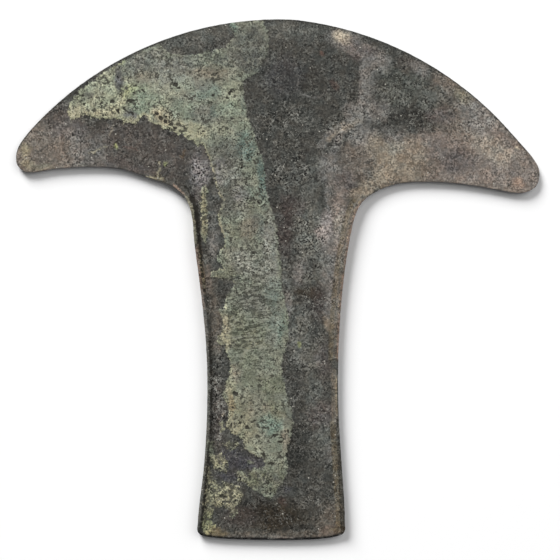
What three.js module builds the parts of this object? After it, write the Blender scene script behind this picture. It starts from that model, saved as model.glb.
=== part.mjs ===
// Axe money: a thin T-shaped blank of hammered copper, shaped like an axe but too thin to cut.
// One piece of metal: a crescent blade drawn out to a keen arc, and a waisted stem whose two
// long edges are hammered up into low rims that stand above both faces of the thin web.
//
// Millimetres. The blank is drawn flat: x runs across from the stem's middle line, y from the butt
// end to the cutting edge, and z up from the surface that its rims lie on.

import * as THREE from "three";

// Thicknesses
const WEB = 1.0; // the flat sheet between the rims, and most of the blade
const KEEN = 0.5; // the sheet at the cutting edge
const FRONT_RIM = 1.2; // how far a rim stands above the front of the web
const BACK_RIM = 0.7; // how far it stands below the back of the web

// Widths, measured inwards from the outline
const KEEN_REACH = 12; // the thinning behind the cutting edge
const ARRIS = 0.22; // the worn rounding along every edge
const RIM_CREST = 1.05; // the rim's flat top ends here
const RIM_FOOT = 2.1; // its inner slope meets the web here
const FLAT_MARGIN = 0.5; // the web's flat faces start this far inside the arris or the rim's foot

// Cutting edge: a left and a right arc that meet in a faint point. Each runs from its horn's tip to
// a place beside the point, at an angle in degrees from +x.
const LEFT_ARC = { x: 2.15, y: 53.2, radius: 96.0, tip: 138, apex: 90.4 };
const RIGHT_ARC = { x: -3.9, y: 53.45, radius: 96.15, tip: 40, apex: 82.9 };
const ARC_POINTS = 8;

// How an edge is worked: -1 is drawn out keen, 0 is left plain and 1 is hammered up into a rim.
const CUTTING = -1;
const PLAIN = 0;
const RIMMED = 1;

// Each side runs from its horn's tip along the underside, round the neck and down the stem.
const LEFT_SIDE = [
  [-72.7, 112.6, PLAIN],
  [-73.4, 109.9, PLAIN],
  [-73.0, 107.3, PLAIN],
  [-70.6, 105.3, PLAIN],
  [-62.5, 106.2, PLAIN],
  [-52.4, 106.8, PLAIN],
  [-43.3, 106.2, PLAIN],
  [-34.4, 103.3, PLAIN],
  [-29.2, 101.4, 0.25],
  [-25.2, 98.3, 0.7],
  [-23.2, 93.8, RIMMED],
  [-22.2, 84.5, RIMMED],
  [-20.2, 69.2, RIMMED],
  [-18.8, 54.0, RIMMED],
  [-18.6, 37.0, RIMMED],
  [-19.5, 21.5, RIMMED],
  [-20.9, 9.5, RIMMED],
];
const RIGHT_SIDE = [
  [76.1, 107.4, PLAIN],
  [76.7, 104.2, PLAIN],
  [75.7, 101.3, PLAIN],
  [73.4, 99.7, PLAIN],
  [70.4, 99.3, PLAIN],
  [61.8, 100.8, PLAIN],
  [53.6, 102.0, PLAIN],
  [45.9, 102.5, PLAIN],
  [37.6, 102.2, PLAIN],
  [31.2, 100.4, 0.25],
  [26.4, 97.2, 0.7],
  [24.1, 93.4, RIMMED],
  [22.2, 85.5, RIMMED],
  [20.2, 71.5, RIMMED],
  [19.1, 55.0, RIMMED],
  [19.0, 39.0, RIMMED],
  [19.8, 24.0, RIMMED],
  [20.8, 9.5, RIMMED],
];

// The butt end bows out a little between two tight corners, where the rims run out.
const BUTT = [
  [-21.3, 4.6, 0.95],
  [-21.4, 2.6, 0.7],
  [-20.6, 1.4, 0.4],
  [-18.6, 0.8, 0.1],
  [-13.2, 0.2, PLAIN],
  [-4.6, -0.1, PLAIN],
  [8.6, -0.1, PLAIN],
  [16.0, 0.4, PLAIN],
  [18.9, 1.0, 0.1],
  [20.4, 1.7, 0.45],
  [21.0, 3.0, 0.75],
  [20.9, 4.8, 0.95],
];

const STATIONS_PER_SPAN = 3; // between two points of the outline

// Points along one arc from the horn's tip to the faint point. The edge is plain at the tip.
function arcPoints(arc) {
  return Array.from({ length: ARC_POINTS }, (_, i) => {
    const share = i / (ARC_POINTS - 1);
    const angle = THREE.MathUtils.degToRad(THREE.MathUtils.lerp(arc.tip, arc.apex, share));
    return [
      arc.x + arc.radius * Math.cos(angle),
      arc.y + arc.radius * Math.sin(angle),
      CUTTING * THREE.MathUtils.smoothstep(share, -0.15, 0.45),
    ];
  });
}

// Stations round the closed outline, anticlockwise. Each holds its place and how its edge is worked.
function outlineStations() {
  const points = [
    ...arcPoints(RIGHT_ARC),
    ...arcPoints(LEFT_ARC).reverse(),
    ...LEFT_SIDE,
    ...BUTT,
    ...[...RIGHT_SIDE].reverse(),
  ];
  const curve = new THREE.CatmullRomCurve3(
    points.map(([x, y, worked]) => new THREE.Vector3(x, y, worked)),
    true,
    "centripetal",
  );
  const stations = curve.getPoints(points.length * STATIONS_PER_SPAN).slice(0, -1);
  return stations.map((p) => ({
    place: new THREE.Vector2(p.x, p.y),
    worked: THREE.MathUtils.clamp(p.z, CUTTING, RIMMED),
  }));
}

// The unit vector that points from a station into the metal
function inwardNormals(stations) {
  return stations.map((_, i) => {
    const before = stations.at(i - 1).place;
    const after = stations[(i + 1) % stations.length].place;
    const along = after.clone().sub(before).normalize();
    return new THREE.Vector2(-along.y, along.x);
  });
}

// Half of the edge's cross-section, from the outline inwards: [inset, height from the web's middle].
// Keen, plain and rimmed edges have the same rows, so one runs smoothly into the next.
function halfSection(worked, rimHeight) {
  const keen = Math.max(0, -worked);
  const rim = Math.max(0, worked);
  const web = WEB / 2;
  const lip = THREE.MathUtils.lerp(web, KEEN / 2, keen);
  const crest = web + rimHeight * rim;
  const reach = ARRIS + FLAT_MARGIN + KEEN_REACH * keen;
  const slope = [0.3, 0.65, 1].map((share) => [
    THREE.MathUtils.lerp(ARRIS, reach, share),
    THREE.MathUtils.lerp(lip, web, 1 - (1 - share) ** 2),
  ]);
  const sheet = [[0, lip * 0.45], [ARRIS * 0.3, lip * 0.85], [ARRIS, lip], ...slope];
  const rimmed = [
    [0, crest - ARRIS],
    [ARRIS * 0.3, crest - ARRIS * 0.3],
    [ARRIS, crest],
    [RIM_CREST, crest],
    [(RIM_CREST + RIM_FOOT) / 2, THREE.MathUtils.lerp(web, crest, 0.42)],
    [RIM_FOOT, web],
  ];
  const rows = sheet.map(([inset, height], i) => [
    THREE.MathUtils.lerp(inset, rimmed[i][0], rim),
    THREE.MathUtils.lerp(height, rimmed[i][1], rim),
  ]);
  const foot = rows[rows.length - 1][0];
  return [...rows, [foot + FLAT_MARGIN, web]];
}

// The blank as one closed mesh: its edge section is swept round the outline, from the web's front
// over the edge to its back, and the two flat faces close it.
function blankGeometry() {
  const stations = outlineStations();
  const normals = inwardNormals(stations);
  const middle = BACK_RIM + WEB / 2;
  const count = stations.length;

  const position = [];
  const rings = [];
  const sections = stations.map(({ worked }) => [
    ...halfSection(worked, FRONT_RIM).reverse(),
    ...halfSection(worked, BACK_RIM).map(([inset, height]) => [inset, -height]),
  ]);
  for (let row = 0; row < sections[0].length; row++) {
    rings.push(position.length / 3);
    stations.forEach(({ place }, i) => {
      const [inset, height] = sections[i][row];
      const p = place.clone().addScaledVector(normals[i], inset);
      position.push(p.x, p.y, middle + height);
    });
  }

  const index = [];
  for (let row = 0; row + 1 < rings.length; row++) {
    for (let i = 0; i < count; i++) {
      const next = (i + 1) % count;
      const [a, b] = [rings[row] + i, rings[row] + next];
      const [c, d] = [rings[row + 1] + i, rings[row + 1] + next];
      index.push(a, c, b, b, c, d);
    }
  }

  const ringPlaces = (first) =>
    stations.map((_, i) => new THREE.Vector2(position[3 * (first + i)], position[3 * (first + i) + 1]));
  const [front, back] = [rings[0], rings[rings.length - 1]];
  for (const [a, b, c] of THREE.ShapeUtils.triangulateShape(ringPlaces(front), [])) {
    index.push(front + a, front + b, front + c);
  }
  for (const [a, b, c] of THREE.ShapeUtils.triangulateShape(ringPlaces(back), [])) {
    index.push(back + a, back + c, back + b);
  }

  const geometry = new THREE.BufferGeometry();
  geometry.setAttribute("position", new THREE.Float32BufferAttribute(position, 3));
  geometry.setIndex(index);
  geometry.computeVertexNormals();
  return geometry;
}

const patinatedCopper = new THREE.MeshStandardMaterial({
  color: 0x5f6055,
  roughness: 0.8,
  metalness: 0.25,
});

const axeMoney = new THREE.Mesh(blankGeometry(), patinatedCopper);
axeMoney.name = "axe_money";

// The frame's origin is the middle of the overall width and length, on the surface it lies on.
axeMoney.geometry.computeBoundingBox();
const box = axeMoney.geometry.boundingBox;
axeMoney.position.set(-(box.min.x + box.max.x) / 2, -(box.min.y + box.max.y) / 2, -box.min.z);

const part = new THREE.Group();
part.add(axeMoney);

export default part;
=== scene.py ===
# Axe money: a thin T-shaped blank of hammered copper, lying on its back on a pale floor and seen from
# straight above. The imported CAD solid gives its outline, its thickness and its rims. One finer mesh stands
# for that solid here, and carries the hammered surface, the corrosion crusts and the patina.

import math

import bmesh
import bpy
import numpy as np
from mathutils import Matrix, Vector, noise
from mathutils.bvhtree import BVHTree
from mathutils.geometry import delaunay_2d_cdt
from mathutils.kdtree import KDTree


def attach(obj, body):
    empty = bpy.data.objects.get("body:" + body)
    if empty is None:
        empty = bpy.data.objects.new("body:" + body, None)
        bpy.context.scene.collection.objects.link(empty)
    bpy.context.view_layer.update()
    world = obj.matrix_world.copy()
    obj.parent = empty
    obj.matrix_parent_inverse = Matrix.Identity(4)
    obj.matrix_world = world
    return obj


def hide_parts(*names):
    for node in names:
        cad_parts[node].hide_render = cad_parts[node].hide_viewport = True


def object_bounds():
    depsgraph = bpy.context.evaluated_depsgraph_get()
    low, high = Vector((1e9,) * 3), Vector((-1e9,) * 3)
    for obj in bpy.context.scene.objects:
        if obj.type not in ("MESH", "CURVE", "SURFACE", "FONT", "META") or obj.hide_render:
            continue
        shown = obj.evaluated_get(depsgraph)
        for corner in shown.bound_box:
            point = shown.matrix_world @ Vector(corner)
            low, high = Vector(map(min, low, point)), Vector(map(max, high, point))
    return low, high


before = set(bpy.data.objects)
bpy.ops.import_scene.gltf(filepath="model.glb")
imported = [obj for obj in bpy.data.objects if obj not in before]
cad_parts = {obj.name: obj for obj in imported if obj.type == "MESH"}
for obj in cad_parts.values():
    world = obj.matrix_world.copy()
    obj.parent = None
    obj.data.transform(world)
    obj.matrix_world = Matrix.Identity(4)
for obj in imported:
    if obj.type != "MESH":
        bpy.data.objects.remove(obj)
cad_low, cad_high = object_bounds()

# The camera
# It hangs straight above the piece with the cutting edge at the top. A long lens from far off shows the
# edges of the thin sheet nearly square on.
MM = 0.001
VIEW_MIDDLE = (0.64 * MM, -0.12 * MM)
VIEW_WIDTH = 160.5 * MM
VIEW_LENS = 120.0
FRONT_FACE_Z = 1.7 * MM
NEAREST_SEEN = 0.01

camera_data = bpy.data.cameras.new("camera")
camera_data.lens = VIEW_LENS
camera_data.clip_start = NEAREST_SEEN
camera = bpy.data.objects.new("camera", camera_data)
bpy.context.scene.collection.objects.link(camera)
camera.location = (
    *VIEW_MIDDLE,
    FRONT_FACE_Z + VIEW_WIDTH * VIEW_LENS / camera_data.sensor_width,
)
bpy.context.scene.camera = camera
bpy.context.scene.view_settings.view_transform = "Standard"

# The blank
# One sheet of copper about a millimetre thick, cast or cut as a T and hammered cold: the blade is drawn
# out to a keen arc, and the long edges of the stem are beaten up into rims. Its outline and its heights
# are read off the solid, and the hammer's marks are added to them. Places are in millimetres.
OUTLINE_STEP = 0.4
FRONT_STEP = 0.42
BACK_STEP = 0.66
RING_INSETS = (0.0, 0.07, 0.2, 0.42)
GRID_CLEARANCE = 0.28
WALL_ROWS = 3
EDGE_WAVINESS = 0.05
READING_INSET = 0.06  # the heights of the very edge are read this far inside it
BEYOND = 10.0  # the heights are read from this far above or below
UPRIGHT = 0.01  # the normal of an upright face rises less than this
JOINING = 0.01  # corners that lie this close together are one


def outline_of(mesh):
    """The corners of the solid's upright wall, seen from above, in order round the outline."""
    wall = bmesh.new()
    wall.from_mesh(mesh)
    wall.normal_update()
    slanting = [face for face in wall.faces if abs(face.normal.z) > UPRIGHT]
    bmesh.ops.delete(wall, geom=slanting, context="FACES")
    for vertex in wall.verts:
        vertex.co.z = 0
    bmesh.ops.remove_doubles(wall, verts=wall.verts[:], dist=JOINING * MM)
    vertex = min(wall.verts, key=lambda v: v.co.x)
    edge = max(vertex.link_edges, key=lambda e: -e.other_vert(vertex).co.y)
    corners = []
    for _ in wall.verts:
        corners.append((vertex.co.x / MM, vertex.co.y / MM))
        vertex = edge.other_vert(vertex)
        edge = next(e for e in vertex.link_edges if e is not edge)
    wall.free()
    return np.array(corners)


def closed_curve(corners, step):
    """Places about a step apart on a smooth closed curve through the corners."""
    after = np.roll(corners, -1, axis=0)
    spans = np.linalg.norm(after - corners, axis=1)
    spans_before = np.roll(spans, 1)
    tangents = (after - np.roll(corners, 1, axis=0)) / (spans + spans_before)[:, None]
    places = []
    for i, span in enumerate(spans):
        t = np.arange(0, 1, 1 / max(1, round(span / step)))[:, None]
        start, end = corners[i], after[i]
        leave, arrive = tangents[i] * span, np.roll(tangents, -1, axis=0)[i] * span
        places.append(
            (2 * t**3 - 3 * t**2 + 1) * start
            + (t**3 - 2 * t**2 + t) * leave
            + (3 * t**2 - 2 * t**3) * end
            + (t**3 - t**2) * arrive
        )
    return np.concatenate(places)


def inward(places):
    """Unit vectors that point from an anticlockwise outline into the metal."""
    along = np.roll(places, -1, axis=0) - np.roll(places, 1, axis=0)
    along /= np.linalg.norm(along, axis=1)[:, None]
    return np.stack([-along[:, 1], along[:, 0]], axis=1)


def mottle(places, size, octaves=1, seed=0.0):
    """Smooth chance values of about -1 to 1, with humps and hollows of a size in millimetres."""
    flat = np.asarray(places) / size
    return np.array([noise.fractal((x, y, seed), 0.7, 2.0, octaves) for x, y in flat.tolist()])


def ease(value, low, high):
    """0 up to low, 1 from high on, and smooth between them."""
    share = np.clip((value - low) / (high - low), 0, 1)
    return share * share * (3 - 2 * share)


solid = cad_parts["axe_money"].data
solid_tree = BVHTree.FromPolygons(
    [vertex.co / MM for vertex in solid.vertices], [face.vertices[:] for face in solid.polygons]
)
solid_outline = outline_of(solid)
edge_places = closed_curve(solid_outline, OUTLINE_STEP)
edge_inward = inward(edge_places)
waviness = EDGE_WAVINESS * (1 + mottle(edge_places, 1.6, 2, 5.0))
edge_places = edge_places + edge_inward * waviness[:, None]

edge_tree = KDTree(len(edge_places))
for i, place in enumerate(edge_places):
    edge_tree.insert((*place, 0), i)
edge_tree.balance()


def inset_of(places):
    """How far each place lies inside the outline."""
    return np.array([edge_tree.find((x, y, 0))[2] for x, y in places.tolist()])


def solid_height(places, from_above):
    """The height of the solid's front or back at each place."""
    start, down = (BEYOND, -1) if from_above else (-BEYOND, 1)
    heights = []
    for x, y in places.tolist():
        hit = solid_tree.ray_cast(Vector((x, y, start)), Vector((0, 0, down)))[0]
        heights.append(np.nan if hit is None else hit.z)
    return np.array(heights)


def sheet_places(step):
    """A face's places seen from above: rings just inside the outline, then an even grid."""
    rings = [edge_places + edge_inward * inset for inset in RING_INSETS]
    low, high = edge_places.min(0), edge_places.max(0)
    rows = np.arange(low[1], high[1], step * math.sqrt(0.75))
    columns = np.arange(low[0], high[0] + step, step)
    grid = np.array([(x + (i % 2) * step / 2, y) for i, y in enumerate(rows) for x in columns])
    grid = grid[~np.isnan(solid_height(grid, True))]
    grid = grid[inset_of(grid) > RING_INSETS[-1] + GRID_CLEARANCE]
    return np.concatenate([*rings, grid])


def sheet_faces(places):
    """The triangles that join a face's places, facing up."""
    outline = list(range(len(edge_places)))
    corners = [Vector(place) for place in places.tolist()]
    found, _, triangles, sources, _, owners = delaunay_2d_cdt(corners, [], [outline], 1, 1e-7, True)
    if len(found) != len(places):
        raise ValueError("two places of a face fell together")
    inside = [triangle for triangle, owner in zip(triangles, owners) if owner]
    return [tuple(sources[i][0] for i in triangle) for triangle in inside]


front = sheet_places(FRONT_STEP)
back = sheet_places(BACK_STEP)
front_inset = inset_of(front)
back_inset = inset_of(back)


def resting_height(places, from_above):
    """The solid's height, read a hair inside the outline for the places that lie on it."""
    reading = places.copy()
    reading[: len(edge_places)] += edge_inward * READING_INSET
    height = solid_height(reading, from_above)
    if np.isnan(height).any():
        raise ValueError("a place of a face lies off the solid")
    return height


front_height = resting_height(front, True)
back_height = resting_height(back, False)

# Crusts of corrosion
# Pale green copper carbonates that grew in the ground as a layer a tenth of a millimetre thick. They
# cover the left of the blade and run down the stem. Cleaning broke them off along sharp edges.
CRUST_THICKNESS = 0.13
CRUST_RAGGEDNESS = 0.5
LOOSE_RAGGEDNESS = 0.85

# The main crust's outline: along its lower border from the left horn, down the stem and up again
MAIN_CRUST = [
    (-59.7, 50.4), (-60.1, 47.6), (-59.3, 45.3), (-57.4, 46.6), (-55.2, 47.3), (-52.8, 46.2),
    (-48.0, 46.0), (-45.0, 46.2), (-44.4, 44.9), (-42.4, 44.9), (-40.4, 44.8), (-39.4, 46.4),
    (-37.9, 47.1), (-36.6, 45.2), (-35.2, 44.3), (-33.6, 44.1), (-32.6, 43.1), (-30.4, 42.8),
    (-28.6, 41.7), (-26.9, 41.4), (-25.9, 40.2), (-24.4, 39.9), (-23.3, 38.3), (-21.4, 38.9),
    (-20.4, 36.4), (-19.6, 34.4), (-18.8, 32.4), (-18.2, 30.0), (-17.6, 27.0), (-16.4, 24.0),
    (-15.8, 21.4), (-17.3, 18.6), (-16.7, 15.4), (-15.9, 13.2), (-15.1, 11.4), (-15.3, 9.4),
    (-16.9, 7.6), (-17.4, 5.6), (-16.0, 4.4), (-15.4, 2.8), (-17.0, 3.0), (-19.4, 2.0),
    (-19.2, 0.7), (-15.0, 0.2), (-12.5, -0.6), (-12.6, -1.8), (-14.0, -3.4), (-14.8, -5.8),
    (-15.0, -8.3), (-16.8, -8.6), (-16.6, -9.9), (-15.9, -11.0), (-15.9, -15.2), (-17.3, -16.4),
    (-17.1, -18.2), (-15.2, -19.0), (-14.5, -21.2), (-13.5, -23.8), (-13.9, -27.4), (-14.9, -30.0),
    (-15.2, -31.6), (-16.5, -33.0), (-14.9, -34.4), (-13.9, -38.0), (-14.7, -42.0), (-13.6, -43.9),
    (-11.4, -44.6), (-10.0, -46.0), (-9.4, -48.4), (-7.0, -50.2), (-5.2, -50.6), (-4.0, -51.6),
    (-3.2, -52.8), (-3.8, -54.0), (-5.0, -54.4), (-6.2, -53.8), (-7.6, -54.6), (-8.6, -56.3),
    (-10.4, -54.8), (-12.0, -55.3), (-11.4, -57.8), (-9.0, -58.4), (-7.0, -60.4), (-5.0, -61.0),
    (-2.9, -62.9), (-1.2, -62.4), (-0.4, -60.2), (1.2, -58.6), (2.4, -56.4), (2.9, -53.4),
    (2.2, -50.3), (3.6, -46.0), (4.2, -41.0), (3.9, -36.6), (2.3, -31.8), (1.4, -28.0),
    (1.0, -24.4), (1.7, -21.4), (3.1, -17.0), (3.2, -12.6), (2.1, -6.4), (1.1, -1.0),
    (0.8, 4.4), (0.0, 9.6), (-0.3, 15.4), (-1.8, 19.8), (-3.0, 23.4), (-3.6, 28.0),
    (-4.0, 33.6), (-5.4, 36.8), (-6.5, 40.8), (-7.4, 44.0), (-8.9, 47.4), (-9.5, 51.4),
    (-10.1, 56.8), (-8.4, 58.1), (-6.1, 59.1), (-4.8, 61.4), (-3.2, 64.5), (-2.4, 67.8),
    (-2.8, 71.2), (-4.6, 74.8), (-13.8, 74.4), (-14.0, 72.4), (-12.0, 70.4), (-13.8, 68.2),
    (-14.6, 66.6), (-20.0, 65.4), (-26.0, 64.0), (-31.2, 64.9), (-34.0, 67.6), (-38.0, 65.9),
    (-45.0, 62.2), (-50.0, 59.2), (-55.0, 55.6), (-58.4, 52.4),
]  # fmt: skip
LIP_END = (-3.2, -52.8)  # the corner of the outline where its pale lip ends

# What is left of the crust along the left of the stem: the outline of each island
LOOSE_CRUSTS = [
    [
        (-20.2, -49.6), (-18.6, -50.4), (-16.4, -49.8), (-15.0, -51.0), (-14.6, -52.0),
        (-13.8, -53.0), (-15.4, -55.2), (-18.0, -54.6),
    ],
    [(-15.3, -46.9), (-13.4, -45.9), (-12.2, -46.6), (-11.0, -47.2), (-12.6, -49.0), (-15.0, -48.8)],
    [(-16.7, -41.0), (-15.6, -41.2), (-15.3, -43.4), (-16.5, -43.8)],
    [(-19.9, -45.8), (-18.3, -46.4), (-18.2, -49.2), (-19.4, -50.8), (-20.2, -48.0)],
    [(-20.6, -53.2), (-19.4, -53.6), (-19.2, -56.8), (-20.8, -57.4)],
    [(-9.2, -51.6), (-7.8, -51.4), (-7.2, -52.6), (-8.6, -53.2)],
    [(-22.3, 25.6), (-21.2, 27.0), (-20.1, 26.0), (-20.1, 11.6), (-21.2, 10.4), (-22.0, 16.0)],
    [
        (-19.8, -56.0), (-18.5, -56.2), (-18.0, -57.9), (-16.5, -58.8), (-15.4, -57.9),
        (-13.8, -58.2), (-11.6, -59.2), (-10.0, -60.6), (-10.1, -63.2), (-11.8, -64.8),
        (-12.0, -67.2), (-13.3, -68.4), (-13.9, -66.4), (-15.2, -64.9), (-18.6, -65.4),
        (-18.7, -68.8), (-17.9, -70.6), (-18.3, -72.8), (-20.6, -73.2), (-22.0, -71.4),
        (-21.3, -65.0), (-20.6, -59.0),
    ],
]  # fmt: skip


def line_distance(places, corners):
    """How far each place lies from a line through the corners."""
    nearest = np.full(len(places), np.inf)
    for start, end in zip(corners, corners[1:]):
        span = np.subtract(end, start)
        along = np.clip((places - start) @ span / (span @ span), 0, 1)
        nearest = np.minimum(nearest, np.linalg.norm(places - start - along[:, None] * span, axis=1))
    return nearest


def signed_reach(places, corners):
    """How far each place lies inside a closed outline, and below nought outside it."""
    x, y = places[:, 0], places[:, 1]
    within = np.zeros(len(places), bool)
    for (ax, ay), (bx, by) in zip(corners, corners[1:] + corners[:1]):
        crossed = (ay > y) != (by > y)
        within ^= crossed & (x < ax + (y - ay) * (bx - ax) / ((by - ay) or 1))
    distance = line_distance(places, corners + corners[:1])
    return np.where(within, distance, -distance)


def oval_reach(places, x, y, half_width, half_height, turn):
    """0 in the middle of a turned oval, 1 on its rim and more outside it."""
    across, up = places[:, 0] - x, places[:, 1] - y
    cos, sin = math.cos(math.radians(turn)), math.sin(math.radians(turn))
    return np.hypot((across * cos + up * sin) / half_width, (up * cos - across * sin) / half_height)


raggedness = np.stack([mottle(front, 1.4, 4, 11.0), mottle(front, 1.4, 4, 23.0)], axis=1)
ragged = raggedness * CRUST_RAGGEDNESS
crust_reach = signed_reach(front + ragged, MAIN_CRUST)
for corners in LOOSE_CRUSTS:
    island_reach = signed_reach(front + raggedness * LOOSE_RAGGEDNESS, corners)
    crust_reach = np.maximum(crust_reach, island_reach)
crust_share = ease(crust_reach, -0.15, 0.3)

# Pits: middle, half width, half height and turn of each, then its depth
PITS = [
    (-29.4, 55.9, 0.9, 0.6, -40, 0.12), (-28.4, 55.0, 0.7, 0.4, 0, 0.10),
    (-13.4, 53.8, 0.45, 1.1, -28, 0.12), (-14.4, 52.0, 0.5, 0.4, 0, 0.10),
    (-38.6, 54.2, 0.4, 0.8, 20, 0.10), (-40.9, 55.5, 1.2, 0.25, 15, 0.08),
    (-42.2, 51.2, 1.4, 0.45, 0, 0.08), (-47.4, 51.1, 0.8, 0.6, 0, 0.12),
    (-52.0, 52.4, 0.5, 0.3, 30, 0.06), (-50.6, 50.6, 0.6, 0.3, 0, 0.10),
    (-34.6, 47.6, 0.6, 0.6, 0, 0.12), (-33.5, 46.2, 0.7, 0.6, -40, 0.12),
    (-32.2, 45.4, 0.7, 0.5, -40, 0.12), (-30.8, 44.6, 0.5, 0.4, 0, 0.12),
    (-29.4, 43.4, 0.6, 0.5, -40, 0.12), (-42.6, 48.0, 2.0, 0.35, -20, 0.10),
    (-44.0, 49.0, 0.3, 1.0, 30, 0.10), (-18.7, 52.8, 0.35, 0.3, 0, 0.10),
    (-13.0, 46.2, 0.8, 0.3, 0, 0.10), (-24.0, 45.9, 0.4, 0.3, 0, 0.08),
    (-22.8, 42.4, 0.35, 0.6, 0, 0.10), (-21.2, 42.6, 0.6, 0.3, 0, 0.10),
    (-57.8, 53.4, 0.9, 0.6, 0, 0.08), (-55.9, 52.8, 0.5, 0.4, 0, 0.10),
    (-55.6, 50.2, 0.5, 0.3, 30, 0.10), (-58.0, 49.4, 0.4, 0.4, 0, 0.10),
    (-17.6, 58.8, 0.9, 0.35, 35, 0.08), (-45.8, 48.2, 0.5, 0.8, 0, 0.10),
    (-9.0, 27.4, 0.6, 0.35, 0, 0.10), (-6.8, 23.4, 0.5, 0.3, 20, 0.10),
    (-5.3, 21.9, 0.5, 0.4, -20, 0.10), (-12.2, -32.6, 0.9, 0.7, -20, 0.12),
    (-10.4, -39.4, 0.4, 0.7, 0, 0.12), (-10.8, -41.2, 0.7, 0.3, 30, 0.10),
    (-8.6, -42.4, 0.8, 0.45, -30, 0.12), (-7.2, -40.8, 1.0, 0.25, 20, 0.08),
    (-0.8, -44.7, 1.3, 0.45, 35, 0.12), (0.6, -46.5, 0.8, 0.45, 0, 0.12),
    (2.8, -43.5, 0.5, 0.4, 30, 0.12), (-4.5, -44.1, 0.4, 0.3, 0, 0.10),
    (-4.1, -50.2, 0.9, 0.4, -30, 0.12), (-2.0, -52.8, 1.1, 0.5, 0, 0.12),
    (-15.7, -62.1, 1.5, 0.6, 0, 0.05), (-3.0, -58.4, 0.6, 0.35, 0, 0.08),
    (-12.9, -36.8, 0.5, 0.6, 0, 0.08), (-13.3, -41.6, 0.4, 0.7, 0, 0.10),
]  # fmt: skip
SHAKE = 0.35
PIT_FADE = (0.5, 1.15)
shake = SHAKE * np.stack([mottle(front, 0.9, 2, 31.0), mottle(front, 0.9, 2, 37.0)], axis=1)
shaken = front + shake
pit_depth = np.zeros(len(front))
for *oval, depth in PITS:
    pit_depth = np.maximum(pit_depth, depth * (1 - ease(oval_reach(shaken, *oval), *PIT_FADE)))

# Grooves: half width and depth of each, then its line. Corrosion ate them along the foot of the rims.
GROOVES = [
    (0.30, 0.25, [(-27.0, 27.2), (-25.6, 25.2), (-24.5, 23.2)]),
    (0.60, 0.50, [(-24.6, 23.4), (-23.7, 21.0), (-23.0, 18.0), (-22.8, 14.6), (-22.5, 10.6)]),
    (0.35, 0.30, [(-22.4, 10.6), (-21.9, 6.0), (-21.5, 1.0), (-21.0, -3.4)]),
    (0.30, 0.25, [(-19.5, -17.0), (-19.1, -24.0), (-19.0, -36.0), (-19.2, -44.0)]),
    (0.25, 0.25, [(-19.6, -46.0), (-20.2, -54.0), (-20.8, -61.0), (-21.6, -68.0), (-22.0, -71.0)]),
    (0.20, 0.15, [(17.1, -40.0), (17.3, -48.0), (17.6, -58.0), (18.0, -66.0), (18.2, -71.0)]),
]
wandering = front + 0.8 * shake + 0.3 * ragged
groove_share = np.zeros(len(front))
groove_depth = np.zeros(len(front))
for half_width, depth, line in GROOVES:
    share = 1 - ease(line_distance(wandering, line), half_width * 0.4, half_width * 1.6)
    gaps = mottle(front, 1.1, 2, half_width * 90)
    share *= ease(gaps, -0.7, 0.0)
    groove_share = np.maximum(groove_share, share)
    groove_depth = np.maximum(groove_depth, share * depth)

# The relief of both faces, which fades out towards the edge
SINK = 0.06  # the metal lies this far inside the solid's faces
HAMMER_MARKS = 0.05
SMALL_DENTS = 0.02
CRUST_LUMPS = 0.05
SKIN_GRIT = 0.02
RELIEF_FADE = (-0.1, 0.5)
front_relief = (
    -SINK
    + HAMMER_MARKS * mottle(front, 9.0, 1, 1.0)
    + SMALL_DENTS * mottle(front, 3.0, 2, 2.0)
    + crust_share * (CRUST_THICKNESS + CRUST_LUMPS * mottle(front, 1.2, 3, 3.0))
    + (1 - crust_share) * SKIN_GRIT * mottle(front, 1.0, 3, 4.0)
    - pit_depth
    - groove_depth
)
front_relief *= ease(front_inset, *RELIEF_FADE)
back_relief = SINK + HAMMER_MARKS * mottle(back, 9.0, 1, 41.0) + SMALL_DENTS * mottle(back, 2.0, 3, 42.0)
back_relief *= ease(back_inset, *RELIEF_FADE)

front_z = np.minimum(front_height + front_relief, cad_high.z / MM)
back_z = np.maximum(back_height + back_relief, cad_low.z / MM)

front_faces = sheet_faces(front)
back_faces = sheet_faces(back)
edge_count = len(edge_places)
wall_rows = []
for row in range(1, WALL_ROWS + 1):
    share = row / (WALL_ROWS + 1)
    heights = front_z[:edge_count] * (1 - share) + back_z[:edge_count] * share
    wall_rows.append(np.column_stack([edge_places, heights]))

wall_start = len(front)
back_start = wall_start + WALL_ROWS * edge_count
vertices = np.concatenate(
    [np.column_stack([front, front_z]), *wall_rows, np.column_stack([back, back_z])]
)
faces = list(front_faces)
faces += [tuple(back_start + i for i in reversed(face)) for face in back_faces]
rings = [0, *(wall_start + k * edge_count for k in range(WALL_ROWS)), back_start]
for upper, lower in zip(rings, rings[1:]):
    for i in range(edge_count):
        j = (i + 1) % edge_count
        faces.append((upper + i, lower + i, lower + j, upper + j))

mesh = bpy.data.meshes.new("patinated_blank")
mesh.from_pydata((vertices * MM).tolist(), [], faces)
mesh.validate()
mesh.update()
for face in mesh.polygons:
    face.use_smooth = True
blank = bpy.data.objects.new("patinated_blank", mesh)
bpy.context.scene.collection.objects.link(blank)


def carry(name, on_front, on_back):
    """Stores one value or tint for each place of the mesh. The wall takes those of the front's edge."""
    on_wall = [on_front[:edge_count]] * WALL_ROWS
    values = np.concatenate([on_front, *on_wall, on_back]).astype(np.float32)
    if values.ndim == 1:
        mesh.attributes.new(name, "FLOAT", "POINT").data.foreach_set("value", values)
    else:
        values = np.column_stack([values, np.ones(len(values), np.float32)])
        mesh.attributes.new(name, "FLOAT_COLOR", "POINT").data.foreach_set("color", values.ravel())


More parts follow.
